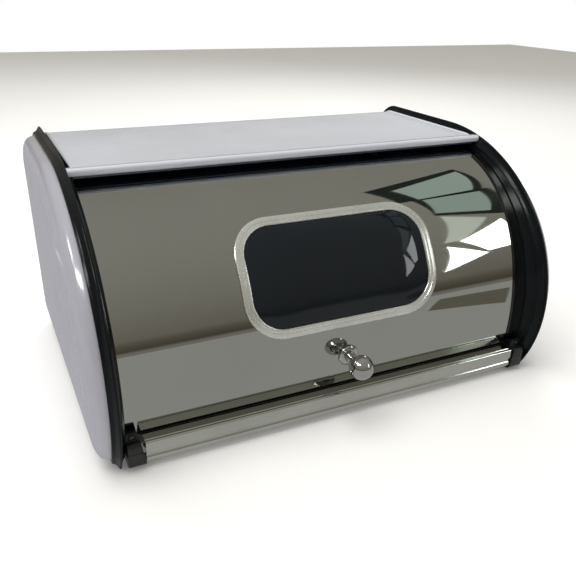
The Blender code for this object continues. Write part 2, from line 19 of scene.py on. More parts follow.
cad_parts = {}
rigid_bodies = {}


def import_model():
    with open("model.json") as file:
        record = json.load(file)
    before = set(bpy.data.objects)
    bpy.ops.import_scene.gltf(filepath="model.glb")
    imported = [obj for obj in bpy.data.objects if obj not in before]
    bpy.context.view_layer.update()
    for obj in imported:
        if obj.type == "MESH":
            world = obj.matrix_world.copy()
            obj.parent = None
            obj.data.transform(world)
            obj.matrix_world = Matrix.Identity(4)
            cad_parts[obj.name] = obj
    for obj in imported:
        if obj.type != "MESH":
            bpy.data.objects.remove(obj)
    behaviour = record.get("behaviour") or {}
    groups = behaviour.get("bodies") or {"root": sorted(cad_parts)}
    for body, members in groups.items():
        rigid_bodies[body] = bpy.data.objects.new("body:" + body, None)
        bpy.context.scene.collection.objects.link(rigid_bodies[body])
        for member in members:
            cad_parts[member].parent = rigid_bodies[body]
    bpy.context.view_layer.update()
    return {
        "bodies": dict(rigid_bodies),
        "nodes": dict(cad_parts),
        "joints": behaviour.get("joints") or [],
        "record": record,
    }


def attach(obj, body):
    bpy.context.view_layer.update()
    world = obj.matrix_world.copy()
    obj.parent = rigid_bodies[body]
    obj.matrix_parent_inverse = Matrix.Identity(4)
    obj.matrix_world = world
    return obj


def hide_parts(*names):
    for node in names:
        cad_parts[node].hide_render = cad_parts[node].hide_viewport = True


Flat = tuple[float, float]
Point = tuple[float, float, float]
Colour = tuple[float, float, float]
Loop = list[Point]

BEHIND = -1.0
AHEAD = 1.0

LOG = logging.getLogger("bread_bin")


class Side(Enum):
    """The two ends of the bin."""

    LEFT = "left"
    RIGHT = "right"

    @property
    def sign(self) -> int:
        """Which way this end lies along X."""
        return -1 if self is Side.LEFT else 1


class Body(Enum):
    """The bodies of the frame that a piece can ride on."""

    BIN = "bin_body"
    DOOR = "door"


# ---- finishes --------------------------------------------------------------------------------
class Board:
    """A material's node tree, with one short method for each node that the finishes use."""

    def __init__(self, title: str) -> None:
        """Start a material with a Principled shader and coordinates from the piece itself."""
        self.material = bpy.data.materials.new(title)
        self.material.use_nodes = True
        self.nodes = self.material.node_tree.nodes
        self.links = self.material.node_tree.links
        self.shader = self.nodes["Principled BSDF"]
        self.place = self.nodes.new("ShaderNodeTexCoord").outputs["Object"]

    def feed(self, source: bpy.types.NodeSocket, name: str) -> None:
        """Wire a socket into the shader's input of that name."""
        self.links.new(source, self.shader.inputs[name])

    def noise(self, scale: float, detail: float = 3.0,
              stretch: Point = (1.0, 1.0, 1.0)) -> bpy.types.NodeSocket:
        """Add a noise texture.

        Args:
            scale: How many features there are to a metre.
            detail: How many finer layers are added.
            stretch: Factors on the three axes; a small one draws the pattern out along it.

        Returns:
            The noise value, around 0.5.
        """
        mapping = self.nodes.new("ShaderNodeMapping")
        mapping.inputs["Scale"].default_value = stretch
        texture = self.nodes.new("ShaderNodeTexNoise")
        texture.inputs["Scale"].default_value = scale
        texture.inputs["Detail"].default_value = detail
        self.links.new(self.place, mapping.inputs["Vector"])
        self.links.new(mapping.outputs["Vector"], texture.inputs["Vector"])
        return texture.outputs["Fac"]

    def spread(self, value: bpy.types.NodeSocket, low: float, high: float,
               start: float = 0.3, end: float = 0.7) -> bpy.types.NodeSocket:
        """Map a value to a new range.

        Args:
            value: The socket to read.
            low: The result at start.
            high: The result at end.
            start: The reading that gives low.
            end: The reading that gives high.

        Returns:
            The mapped value.
        """
        node = self.nodes.new("ShaderNodeMapRange")
        node.inputs["From Min"].default_value = start
        node.inputs["From Max"].default_value = end
        node.inputs["To Min"].default_value = low
        node.inputs["To Max"].default_value = high
        self.links.new(value, node.inputs["Value"])
        return node.outputs["Result"]

    def blend(self, factor: bpy.types.NodeSocket, first: Colour | bpy.types.NodeSocket,
              second: Colour) -> bpy.types.NodeSocket:
        """Mix two colours.

        Args:
            factor: How much of the second colour shows, from 0 to 1.
            first: A colour, or a socket that carries one.
            second: The other colour.

        Returns:
            The mixed colour.
        """
        node = self.nodes.new("ShaderNodeMix")
        node.data_type = "RGBA"
        colours = [socket for socket in node.inputs if socket.type == "RGBA"]
        self.links.new(factor, node.inputs["Factor"])
        if isinstance(first, tuple):
            colours[0].default_value = (*first, 1.0)
        else:
            self.links.new(first, colours[0])
        colours[1].default_value = (*second, 1.0)
        return next(socket for socket in node.outputs if socket.type == "RGBA")

    def relief(self, height: bpy.types.NodeSocket, strength: float, depth: float) -> None:
        """Add a bump layer over the ones already made."""
        node = self.nodes.new("ShaderNodeBump")
        node.inputs["Strength"].default_value = strength
        node.inputs["Distance"].default_value = depth
        self.links.new(height, node.inputs["Height"])
        below = self.shader.inputs["Normal"].links
        if below:
            self.links.new(below[0].from_socket, node.inputs["Normal"])
        self.feed(node.outputs["Normal"], "Normal")


@dataclass(frozen=True)
class Finish:
    """One surface finish, from its base colour to the dust on it."""

    title: str
    slot: str
    colour: Colour
    shade: Colour
    roughness: float
    swing: float
    metallic: float = 0.0
    drift: float = 24.0
    grain: float = 900.0
    stretch: Point = (1.0, 1.0, 1.0)
    grain_depth: float = 0.00002
    grain_strength: float = 0.10
    ripple: float = 0.0
    ripple_scale: float = 9.0
    dust: float = 0.0
    dust_colour: Colour = (0.45, 0.45, 0.43)
    worn: Colour | None = None
    coat: float = 0.0
    alpha: float = 1.0
    specular: float = 0.5

    def material(self) -> bpy.types.Material:
        """Make the material once and hand out the same one after that."""
        made = bpy.data.materials.get(self.title)
        return made if made is not None else self._build()

    def _build(self) -> bpy.types.Material:
        """Wire up the node tree of this finish."""
        board = Board(self.title)
        sockets = board.shader.inputs
        sockets["Metallic"].default_value = self.metallic
        sockets["Coat Weight"].default_value = self.coat
        sockets["Coat Roughness"].default_value = 0.06
        sockets["Specular IOR Level"].default_value = self.specular
        sockets["Alpha"].default_value = self.alpha
        cloud = board.noise(self.drift, 4.0)
        grain = board.noise(self.grain, 2.0, self.stretch)
        colour = board.blend(board.spread(cloud, 0.0, 1.0), self.colour, self.shade)
        if self.worn is not None:
            edge = outward_turn(board)
            colour = board.blend(board.spread(edge, 0.0, 0.35, 0.515, 0.60), colour, self.worn)
        if self.dust > 0.0:
            specks = board.spread(board.noise(1500.0, 1.0), 0.0, self.dust, 0.66, 0.72)
            colour = board.blend(specks, colour, self.dust_colour)
        board.feed(colour, "Base Color")
        smudge = board.noise(self.drift * 2.3, 5.0, (1.0, 0.8, 1.3))
        rough = board.spread(smudge, self.roughness - self.swing, self.roughness + self.swing)
        board.feed(rough, "Roughness")
        board.relief(grain, self.grain_strength, self.grain_depth)
        if self.ripple > 0.0:
            board.relief(board.noise(self.ripple_scale, 1.0), self.ripple, 0.001)
        return board.material


def outward_turn(board: Board) -> bpy.types.NodeSocket:
    """Add the node that tells how sharply a surface turns outward, for worn edges."""
    return board.nodes.new("ShaderNodeNewGeometry").outputs["Pointiness"]


FRAME_BLACK = Finish("frame_black_moulding", "black_plastic", (0.003, 0.004, 0.005), (0.006, 0.008, 0.010),
                     0.20, 0.05, grain=1400.0, grain_depth=0.00003, grain_strength=0.08, dust=0.03,
                     worn=(0.024, 0.028, 0.032), specular=0.16)
BLOCK_BLACK = Finish("block_black_moulding", "black_plastic", (0.004, 0.005, 0.006), (0.009, 0.010, 0.012),
                     0.34, 0.08, grain=1100.0, grain_depth=0.00008, grain_strength=0.22, dust=0.12,
                     worn=(0.05, 0.05, 0.055), specular=0.4)
# The header strip is black plastic with real dust specks; its base is lifted to navy as a painted sheen,
# because it sits in the shade of the lip.
STRIP_BLACK_PAINTED_SHEEN = Finish("strip_dusty_black_painted_sheen", "black_plastic", (0.030, 0.048, 0.090), (0.045, 0.064, 0.105),
                     0.22, 0.08, grain=700.0, grain_depth=0.00004, dust=0.85, dust_colour=(0.20, 0.24, 0.32),
                     coat=0.4)
ENAMEL = Finish("shell_white_enamel", "white_enamel", (0.69, 0.725, 0.81), (0.66, 0.695, 0.78),
                0.20, 0.05, drift=9.0, grain=420.0, grain_depth=0.00005, grain_strength=0.06, ripple=0.02,
                dust=0.10, dust_colour=(0.40, 0.40, 0.42), coat=0.6)
# The end panels are the shell's white enamel painted darker: painted shade on the ends of the bin.
PANEL_ENAMEL_PAINTED_SHADE = Finish("panel_white_enamel_painted_shade", "white_enamel", (0.44, 0.44, 0.50), (0.41, 0.41, 0.47),
                      0.22, 0.05, drift=8.0, grain=420.0, grain_depth=0.00005, grain_strength=0.05,
                      ripple=0.02, dust=0.06, dust_colour=(0.36, 0.36, 0.38), coat=0.7)
INNER_ENAMEL = Finish("inner_white_enamel", "white_enamel", (0.66, 0.67, 0.68), (0.60, 0.60, 0.61),
                      0.34, 0.08, drift=12.0, grain=500.0, grain_depth=0.00004, dust=0.15)
LINER_GREY = Finish("liner_grey_coat", "grey_liner", (0.42, 0.43, 0.45), (0.36, 0.37, 0.39),
                    0.42, 0.08, grain=900.0, grain_depth=0.00005, dust=0.1)
MIRROR = Finish("door_mirror_steel", "mirror_steel", (0.445, 0.455, 0.43), (0.425, 0.435, 0.41),
                0.030, 0.018, metallic=1.0, drift=14.0, grain=500.0, grain_depth=0.000004,
                grain_strength=0.02, ripple=0.010, ripple_scale=7.0)
POLISHED = Finish("sill_polished_steel", "polished_steel", (0.58, 0.59, 0.56), (0.52, 0.53, 0.50),
                  0.10, 0.03, metallic=1.0, drift=30.0, grain=900.0, stretch=(0.03, 1.0, 1.0),
                  grain_depth=0.000004, grain_strength=0.04, ripple=0.01, ripple_scale=20.0)
KNOB_CHROME = Finish("knob_chrome", "polished_steel", (0.52, 0.52, 0.51), (0.48, 0.48, 0.47),
                     0.045, 0.025, metallic=1.0, drift=90.0, grain=800.0, grain_depth=0.000005,
                     grain_strength=0.03)
BRUSHED = Finish("bezel_satin_steel", "brushed_steel", (0.82, 0.84, 0.81), (0.72, 0.74, 0.71),
                 0.27, 0.05, metallic=0.8, drift=30.0, grain=2600.0, grain_depth=0.00004,
                 grain_strength=0.24)
ZINC = Finish("screw_zinc", "plated_steel", (0.58, 0.58, 0.57), (0.46, 0.46, 0.45),
              0.28, 0.08, metallic=1.0, drift=160.0, grain=2400.0, grain_depth=0.00003)
DARK_SCREW = Finish("screw_blackened", "dark_screw", (0.060, 0.063, 0.070), (0.11, 0.11, 0.12),
                    0.30, 0.08, metallic=0.8, drift=300.0, grain=2600.0, grain_depth=0.00003)
SMOKED = Finish("pane_smoked_acrylic", "smoked_acrylic", (0.006, 0.009, 0.013), (0.008, 0.012, 0.016),
                0.035, 0.02, drift=18.0, grain=300.0, grain_depth=0.000004, grain_strength=0.02,
                ripple=0.010, alpha=0.97, specular=0.34)
RUBBER = Finish("foot_black_rubber", "black_rubber", (0.014, 0.014, 0.015), (0.028, 0.028, 0.029),
                0.70, 0.10, grain=1200.0, grain_depth=0.00010, grain_strength=0.3, dust=0.2)
SEAL = Finish("door_seal_rubber", "black_rubber", (0.008, 0.008, 0.009), (0.016, 0.016, 0.017),
              0.50, 0.10, grain=1500.0, grain_depth=0.00005, grain_strength=0.2)
NYLON = Finish("bush_nylon", "white_nylon", (0.72, 0.72, 0.68), (0.66, 0.65, 0.60),
               0.48, 0.08, drift=120.0, grain=1500.0, grain_depth=0.00004)


# ---- mesh work -----------------------------------------------------------------------------
def poured(name: str, bm: bmesh.types.BMesh) -> bpy.types.Mesh:
    """Pour a bmesh into a new mesh, and free it."""
    mesh = bpy.data.meshes.new(name)
    bm.to_mesh(mesh)
    bm.free()
    return mesh


def shade(mesh: bpy.types.Mesh, angle: float = 32.0) -> bpy.types.Mesh:
    """Shade a mesh smooth, with creases where it turns by more than an angle in degrees."""
    mesh.shade_smooth()
    mesh.set_sharp_from_angle(angle=math.radians(angle))
    return mesh


def skin(name: str, loops: Sequence[Loop], ring: bool = False, around: bool = True,
         cap: bool = False) -> bpy.types.Mesh:
    """Join rows of points into one surface.

    Args:
        name: The mesh's name.
        loops: Rows of points, each of the same length.
        ring: Whether the last row joins the first, which makes a closed tube.
        around: Whether each row is itself a closed loop.
        cap: Whether a fan closes the last row.

    Returns:
        The mesh, shaded smooth.
    """
    bm = bmesh.new()
    rows = [[bm.verts.new(point) for point in loop] for loop in loops]
    pairs = list(zip(rows, rows[1:]))
    if ring:
        pairs.append((rows[-1], rows[0]))
    count = len(rows[0])
    last = count if around else count - 1
    for low, high in pairs:
        for i in range(last):
            j = (i + 1) % count
            bm.faces.new((low[i], low[j], high[j], high[i]))
    if cap:
        hub = bm.verts.new(sum((vert.co for vert in rows[-1]), Vector()) / count)
        for i in range(count):
            bm.faces.new((rows[-1][i], rows[-1][(i + 1) % count], hub))
    if ring:
        bmesh.ops.recalc_face_normals(bm, faces=bm.faces)
    return shade(poured(name, bm))


def settle(piece: bpy.types.Object, angle: float = 32.0) -> bpy.types.Object:
    """Apply a piece's modifiers, then mark its creases again.

    Args:
        piece: The piece, which may carry modifiers.
        angle: The least turn, in degrees, that stays a crease.

    Returns:
        The same piece, with a plain mesh.
    """
    bpy.context.view_layer.update()
    graph = bpy.context.evaluated_depsgraph_get()
    mesh = bpy.data.meshes.new_from_object(piece.evaluated_get(graph))
    piece.modifiers.clear()
    piece.data = shade(mesh, angle)
    return piece


def loose(name: str, mesh: bpy.types.Mesh) -> bpy.types.Object:
    """Put a mesh in the scene as an object, with no material yet."""
    item = bpy.data.objects.new(name, mesh)
    bpy.context.scene.collection.objects.link(item)
    return item


def thicken(piece: bpy.types.Object, thickness: float, towards: float) -> None:
    """Give a sheet its thickness, behind its face (-1) or ahead of it (1)."""
    mod = piece.modifiers.new("sheet", "SOLIDIFY")
    mod.thickness = thickness
    mod.offset = towards


def soften(piece: bpy.types.Object, width: float, segments: int = 3, angle: float = 30.0) -> None:
    """Round a piece's edges."""
    mod = piece.modifiers.new("round", "BEVEL")
    mod.width = width
    mod.segments = segments
    mod.limit_method = "ANGLE"
    mod.angle_limit = math.radians(angle)
    mod.harden_normals = False


def carve(piece: bpy.types.Object, tools: Sequence[bpy.types.Object]) -> None:
    """Cut tools out of a piece, and take the tools away."""
    for tool in tools:
        mod = piece.modifiers.new("cut", "BOOLEAN")
        mod.solver = "EXACT"
        mod.object = tool
    settle(piece)
    for tool in tools:
        bpy.data.objects.remove(tool, do_unlink=True)


def block(name: str, low: Point, high: Point) -> bpy.types.Object:
    """A plain box between two corners, to cut with."""
    bm = bmesh.new()
    bmesh.ops.create_cube(bm, size=1.0)
    for vert in bm.verts:
        vert.co = [low[k] + (vert.co[k] + 0.5) * (high[k] - low[k]) for k in range(3)]
    return loose(name, poured(name, bm))


def turned_mesh(name: str, profile: Sequence[Flat], steps: int) -> bpy.types.Mesh:
    """Turn a (radius, height) profile about Z.

    Args:
        name: The mesh's name.
        profile: The profile, which is closed by the axis or by its own ends.
        steps: How many facets go round.

    Returns:
        The closed mesh.
    """
    bm = bmesh.new()
    verts = [bm.verts.new((radius, 0.0, height)) for radius, height in profile]
    edges = [bm.edges.new(pair) for pair in zip(verts, verts[1:])]
    if profile[0][0] > 0.0:
        edges.append(bm.edges.new((verts[-1], verts[0])))
    bmesh.ops.spin(bm, geom=verts + edges, cent=(0, 0, 0), axis=(0, 0, 1), angle=math.tau, steps=steps,
                   use_merge=True)
    bmesh.ops.remove_doubles(bm, verts=bm.verts, dist=0.000002)
    bmesh.ops.recalc_face_normals(bm, faces=bm.faces)
    return shade(poured(name, bm))


def arc(across: float, up: float, radius: float, start: float, end: float, steps: int) -> list[Flat]:
    """Points of an arc, with angles in degrees from the first axis towards the second."""
    turns = [math.radians(start + (end - start) * i / steps) for i in range(steps + 1)]
    return [(across + radius * math.cos(a), up + radius * math.sin(a)) for a in turns]


def curve_through(points: Sequence[Flat], steps: int) -> list[Flat]:
    """A smooth run through points.

    Args:
        points: The points that it passes through.
        steps: How many pieces each span is divided into.

    Returns:
        The run, with its first and last points kept.
    """
    run: list[Flat] = []
    for k in range(len(points) - 1):
        p0 = points[max(k - 1, 0)]
        p1, p2 = points[k], points[k + 1]
        p3 = points[min(k + 2, len(points) - 1)]
        for i in range(steps):
            t = i / steps
            run.append(tuple(0.5 * (2 * b + (c - a) * t + (2 * a - 5 * b + 4 * c - d) * t * t
                                    + (3 * b - a - 3 * c + d) * t ** 3)
                             for a, b, c, d in zip(p0, p1, p2, p3)))
    return run + [points[-1]]


def finish_piece(piece: bpy.types.Object, finish: Finish, body: Body, *nodes: str) -> bpy.types.Object:
    """Dress a piece and fasten it.

    Args:
        piece: The piece, in its place.
        finish: What it is finished in.
        body: The body that it moves with.
        nodes: The frame's nodes that it stands for.

    Returns:
        The same piece.
    """
    piece.data.materials.clear()
    piece.data.materials.append(finish.material())
    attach(piece, body.value)
    if nodes:
        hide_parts(*nodes)
    LOG.info("%s: %d faces in %s", piece.name, len(piece.data.polygons), finish.title)
    return piece


# ---- shared sizes --------------------------------------------------------------------------
@dataclass(frozen=True)
class BinSizes:
    """Driving sizes that several sub-assemblies share, the same as the frame's."""

    back_y: float = 0.1450
    depth: float = 0.2770
    bottom_z: float = 0.0015
    top_z: float = 0.1909
    nose_z: float = 0.0597
    top_run_y: float = 0.0225
    back_corner: float = 0.0310
    rear_foot: float = 0.0060
    inner_x: float = 0.1743
    pivot_y: float = 0.0127
    pivot_z: float = 0.0530
    door_r: float = 0.1252
    gap: float = 0.0003
    sheet: float = 0.0008
    lip_front_y: float = -0.0212
    lip_low_z: float = 0.1809
    lip_half_x: float = 0.1777
    shell_half_x: float = 0.1740
    shell_back_y: float = 0.1395
    top_sheet_z: float = 0.1854
    base_z: float = 0.0090
    notch_rear_y: float = -0.0118
    rear_screw_x: float = 0.1650
    rear_screw_z: float = 0.0200
    foot_x: float = 0.1500
    front_foot_y: float = -0.0950
    rear_foot_y: float = 0.1200

    def outline(self, inset: float, curve_steps: int = 120) -> list[Flat]:
        """The D shape of the ends.

        Args:
            inset: How far the shape is drawn in, in metres.
            curve_steps: How many pieces the front curve has.

        Returns:
            (y, z) points round the shape, always the same number of them.
        """
        half_y = self.top_run_y - (self.back_y - self.depth) - inset
        half_z = self.top_z - self.nose_z - inset
        floor_z = self.bottom_z + inset
        last = math.pi + math.asin((self.nose_z - floor_z) / half_z)
        points = []
        for i in range(curve_steps + 1):
            a = math.pi / 2 + (last - math.pi / 2) * i / curve_steps
            points.append((self.top_run_y + half_y * math.cos(a), self.nose_z + half_z * math.sin(a)))
        back = self.back_y - inset
        low_r = max(self.rear_foot - inset, 0.0012)
        top_r = max(self.back_corner - inset, 0.0040)
        points += arc(back - low_r, floor_z + low_r, low_r, -90.0, 0.0, 6)
        points += arc(back - top_r, self.nose_z + half_z - top_r, top_r, 0.0, 90.0, 24)
        return points

    def outline_at(self, x: float, inset: float) -> Loop:
        """The D shape as a loop of points at one place along X."""
        return [(x, y, z) for y, z in self.outline(inset)]

    def on_door(self, radius: float, angle: float, x: float = 0.0) -> Point:
        """A point round the door's axis, at an angle in radians up from the front."""
        return (x, self.pivot_y - radius * math.cos(angle), self.pivot_z + radius * math.sin(angle))

    def door_axis(self, radius: float, angle: float) -> Matrix:
        """The matrix that stands a turned piece on the door's face, with its +Z outward."""
        tilt = Matrix.Rotation(math.pi / 2 - angle, 4, "X")
        return Matrix.Translation(self.on_door(radius, angle)) @ tilt

    def rear_stand(self, side: Side) -> Matrix:
        """The matrix that stands a screw on the back of the body, with its +Z outward."""
        place = (side.sign * self.rear_screw_x, self.shell_back_y + self.gap, self.rear_screw_z)
        return Matrix.Translation(place) @ Matrix.Rotation(-math.pi / 2, 4, "X")


def bent_strip(name: str, path: Sequence[Flat], columns: Sequence[float]) -> bpy.types.Object:
    """Draw a (y, z) path out along X, at the given columns."""
    rows = [[(x, y, z) for x in columns] for y, z in path]
    return loose(name, skin(name, rows, around=False))


# ---- ends --------------------------------------------------------------------------------------
@dataclass
class BinEnd:
    """One end of the bin: the black moulded frame and the domed enamel panel inside it."""

    side: Side
    sizes: BinSizes
    ridge_x: float = 0.1787
    outer_x: float = 0.1840
    seat_x: float = 0.1822
    deep: float = 0.0215
    panel_inset: float = 0.0070
    crown_x: float = 0.1960
    dome: tuple[Flat, ...] = ((0.0, 0.0), (0.0004, 0.0030), (0.0022, 0.0070), (0.0062, 0.0100),
                              (0.0130, 0.0118), (0.0240, 0.0128), (0.0420, 0.0133))

    def frame_section(self) -> list[Flat]:
        """The frame's closed section as (x, inset): a ridge, two hollow flanks and two shoulders."""
        inner = self.sizes.inner_x
        ridge = self.ridge_x
        section = [(ridge + x, up) for x, up in ((-0.00075, 0.00034), (-0.0004, 0.0001), (0.0, 0.0),
                                                 (0.0004, 0.0001), (0.00075, 0.00034))]
        section += curve_through(((ridge + 0.0009, 0.0005), (ridge + 0.0018, 0.0020),
                                  (ridge + 0.0032, 0.0036), (self.outer_x - 0.0003, 0.0044)), 4)
        section += [(self.outer_x, 0.0047), (self.outer_x, 0.0062), (self.outer_x - 0.0003, 0.0066),
                    (self.seat_x, 0.0068), (self.seat_x, self.deep), (inner, self.deep)]
        section += curve_through(((inner, 0.0080), (inner, 0.0070), (inner + 0.0006, 0.0060),
                                  (inner + 0.0020, 0.0044), (inner + 0.0032, 0.0022),
                                  (ridge - 0.0009, 0.0005)), 3)
        return section

    def build_frame(self) -> bpy.types.Object:
        """Loft the section round the D shape, and notch it for the lip."""
        name = self.side.value + "_end_frame_moulding"
        sign = self.side.sign
        loops = [self.sizes.outline_at(sign * x, inset) for x, inset in self.frame_section()]
        frame = loose(name, skin(name, loops, ring=True))
        span = sorted((sign * (self.sizes.inner_x - 0.002), sign * (self.sizes.lip_half_x + self.sizes.gap)))
        low = (span[0], self.sizes.lip_front_y - self.sizes.gap, self.sizes.lip_low_z - self.sizes.gap)
        notch = block(name + "_notch", low, (span[1], self.sizes.notch_rear_y, self.sizes.top_z + 0.005))
        carve(frame, [notch])
        return finish_piece(frame, FRAME_BLACK, Body.BIN, self.side.value + "_end_frame")

    def build_panel(self) -> bpy.types.Object:
        """Press the dome out of the sheet, ring by ring."""
        name = self.side.value + "_end_panel_pressing"
        sign = self.side.sign
        start = self.crown_x - self.dome[-1][1]
        loops = [self.sizes.outline_at(sign * (start + rise), self.panel_inset + max(inset, 0.0))
                 for inset, rise in curve_through(self.dome, 5)]
        panel = loose(name, skin(name, loops, cap=True))
        thicken(panel, self.sizes.sheet, -sign)
        settle(panel, 50.0)
        return finish_piece(panel, PANEL_ENAMEL_PAINTED_SHADE, Body.BIN, self.side.value + "_end_panel")


# ---- body ----------------------------------------------------------------------------------------
@dataclass
class BodyShell:
    """The top and back in one enamelled sheet, with its rolled lip and turned-up sides."""

    sizes: BinSizes
    turn_up: tuple[Flat, ...] = ((0.0, 0.0009), (0.0005, 0.0005), (0.0012, 0.0002), (0.0022, 0.0))

    def lip_path(self) -> list[Flat]:
        """The lip from its hidden return, over its front, to the flat of the top."""
        front, low, top = self.sizes.lip_front_y, self.sizes.lip_low_z, self.sizes.top_sheet_z
        path = [(front + 0.0032, low + 0.0002), (front + 0.0014, low)]
        path += arc(front + 0.0012, low + 0.0012, 0.0012, 255.0, 180.0, 5)
        path += arc(front + 0.0026, low + 0.0028, 0.0026, 178.0, 78.0, 10)
        run_in = ((-0.0172, top + 0.0007), (-0.0145, top + 0.0004), (-0.0125, top + 0.0002))
        return path + curve_through(run_in, 3)

    def top_path(self) -> list[Flat]:
        """The flat of the top and the back, down to the floor."""
        corner = self.sizes.back_corner - (self.sizes.back_y - self.sizes.shell_back_y)
        back, top = self.sizes.shell_back_y, self.sizes.top_sheet_z
        path = [(-0.0125, top + 0.0002), (-0.0080, top), (0.0500, top)]
        path += arc(back - corner, top - corner, corner, 90.0, 0.0, 28)
        return path + [(back, 0.0700), (back, self.sizes.base_z - 0.0006)]

    def build(self) -> bpy.types.Object:
        """Bend the sheet, with a wider run of columns at the lip and turned-up sides behind it."""
        half = self.sizes.shell_half_x
        lip_half = self.sizes.lip_half_x
        lip_columns = [-lip_half, -lip_half + 0.0006, -half, 0.0, half, lip_half - 0.0006, lip_half]
        lip = bent_strip("body_shell_lip", self.lip_path(), lip_columns)
        thicken(lip, self.sizes.sheet, BEHIND)
        settle(lip)
        finish_piece(lip, ENAMEL, Body.BIN)
        path = self.top_path()
        left = [(-half + inset, rise) for inset, rise in self.turn_up]
        columns = left + [(0.0, 0.0)] + [(-x, rise) for x, rise in reversed(left)]
        rows = []
        for k, (y, z) in enumerate(path):
            ahead = Vector(path[min(k + 1, len(path) - 1)]) - Vector(path[max(k - 1, 0)])
            out = Vector((-ahead.y, ahead.x)).normalized()
            share = 0.0 if k == 0 else 1.0
            rows.append([(x, y + out.x * rise * share, z + out.y * rise * share) for x, rise in columns])
        shell = loose("body_shell_sheet", skin("body_shell_sheet", rows, around=False))
        thicken(shell, self.sizes.sheet, BEHIND)
        settle(shell)
        return finish_piece(shell, ENAMEL, Body.BIN, "body_shell")


# ---- fixings ----------------------------------------------------------------------------------------
@dataclass
class CrossScrew:
    """A pan-head screw with a cross recess, standing on a matrix whose +Z is outward."""

    name: str
    node: str
    stand: Matrix
    head_r: float
    head_h: float
    shank_r: float
    shank_l: float
    finish: Finish
    body: Body

    def build(self) -> bpy.types.Object:
        """Turn the head and shank, cut the cross and stand the screw in its place."""
        profile = [(0.0, self.head_h)]
        profile += [(self.head_r * math.sin(a), self.head_h * (0.25 + 0.75 * math.cos(a)))
                    for a in (math.radians(12.0 * i) for i in range(1, 8))]
        profile += [(self.head_r, self.head_h * 0.15), (self.head_r * 0.97, 0.0), (self.shank_r, 0.0),
                    (self.shank_r, -self.shank_l), (0.0, -self.shank_l)]
        screw = loose(self.name, turned_mesh(self.name, profile, 32))
        arm, slot = self.head_r * 0.55, self.head_r * 0.13
        floor = self.head_h * 0.45
        tools = [block(self.name + "_slot", (-arm, -slot, floor), (arm, slot, self.head_h * 2.0)),
                 block(self.name + "_cross", (-slot, -arm, floor), (slot, arm, self.head_h * 2.0))]
        carve(screw, tools)
        screw.data.transform(self.stand)
        return finish_piece(screw, self.finish, self.body, self.node)


@dataclass
class RubberFoot:
    """A turned rubber foot under one corner."""

    node: str
    x: float
    y: float
    radius: float = 0.0085
    height: float = 0.0079

    def build(self) -> bpy.types.Object:
        """Turn the foot, with a rounded tread and a groove round its side."""
        r, h = self.radius, self.height
        profile = [(0.0, h), (r - 0.0010, h), (r, h - 0.0010), (r, h - 0.0030), (r - 0.0007, h - 0.0034),
                   (r - 0.0007, h - 0.0040), (r - 0.0001, h - 0.0044)]
        profile += [(r - 0.0014 + 0.0012 * math.cos(a), 0.0012 - 0.0012 * math.sin(a))
                    for a in (math.radians(15.0 * i) for i in range(7))]
        profile.append((0.0, 0.0))
        mesh = turned_mesh(self.node + "_rubber", profile, 40)
        mesh.transform(Matrix.Translation((self.x, self.y, 0.0)))
        return finish_piece(loose(self.node + "_rubber", mesh), RUBBER, Body.BIN, self.node)


